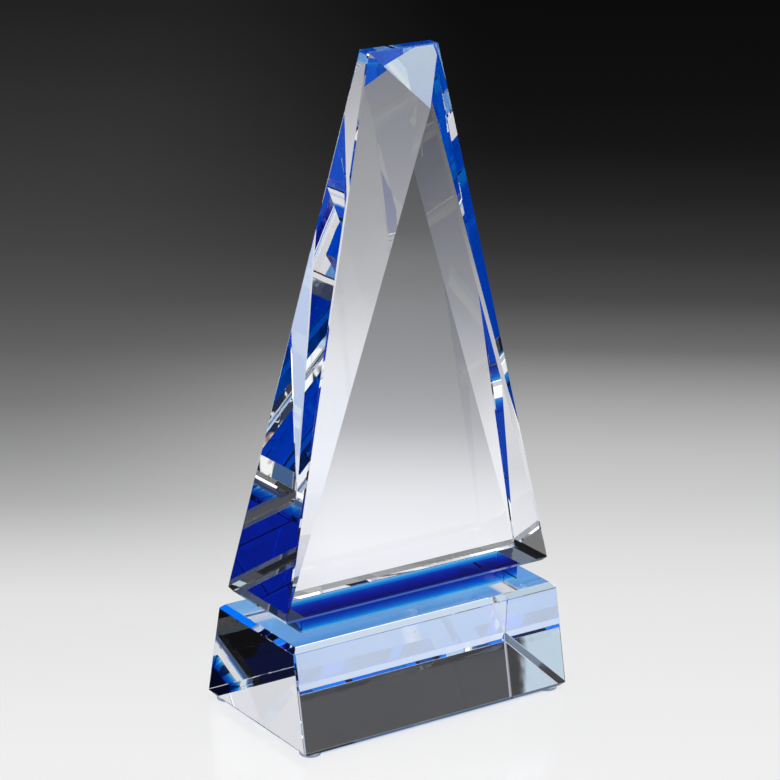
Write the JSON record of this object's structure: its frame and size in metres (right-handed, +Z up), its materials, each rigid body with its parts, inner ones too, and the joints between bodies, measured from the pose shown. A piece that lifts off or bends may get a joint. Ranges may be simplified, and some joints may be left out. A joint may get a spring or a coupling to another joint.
{
  "type": "crystal award",
  "caption": "Faceted clear crystal obelisk bonded to a cobalt slab on a clear wedge-sided base with chamfered edges and small bumper feet.",
  "frame": {"origin": "on the ground plane at the centre of the footprint", "axes": "+Z up; X along the width; -Y is the front, the upright triangular facet"},
  "size_m": [0.1206, 0.0684, 0.254],
  "materials": {
    "clear_crystal": "ground facets polished to a mirror finish, water-clear",
    "cobalt_crystal": "polished cobalt-blue crystal, cyan where thin and indigo where thick",
    "uv_adhesive": "clear cured adhesive film",
    "bumper": "clear soft polyurethane, satin"
  },
  "bodies": {
    "root": {"crystal_tower": "clear_crystal", "blue_plinth": "cobalt_crystal", "clear_base": "clear_crystal", "bond_film_tower": "uv_adhesive", "bond_film_base": "uv_adhesive", "foot_front_left": "bumper", "foot_front_right": "bumper", "foot_back_left": "bumper", "foot_back_right": "bumper"}
  },
  "joints": []
}
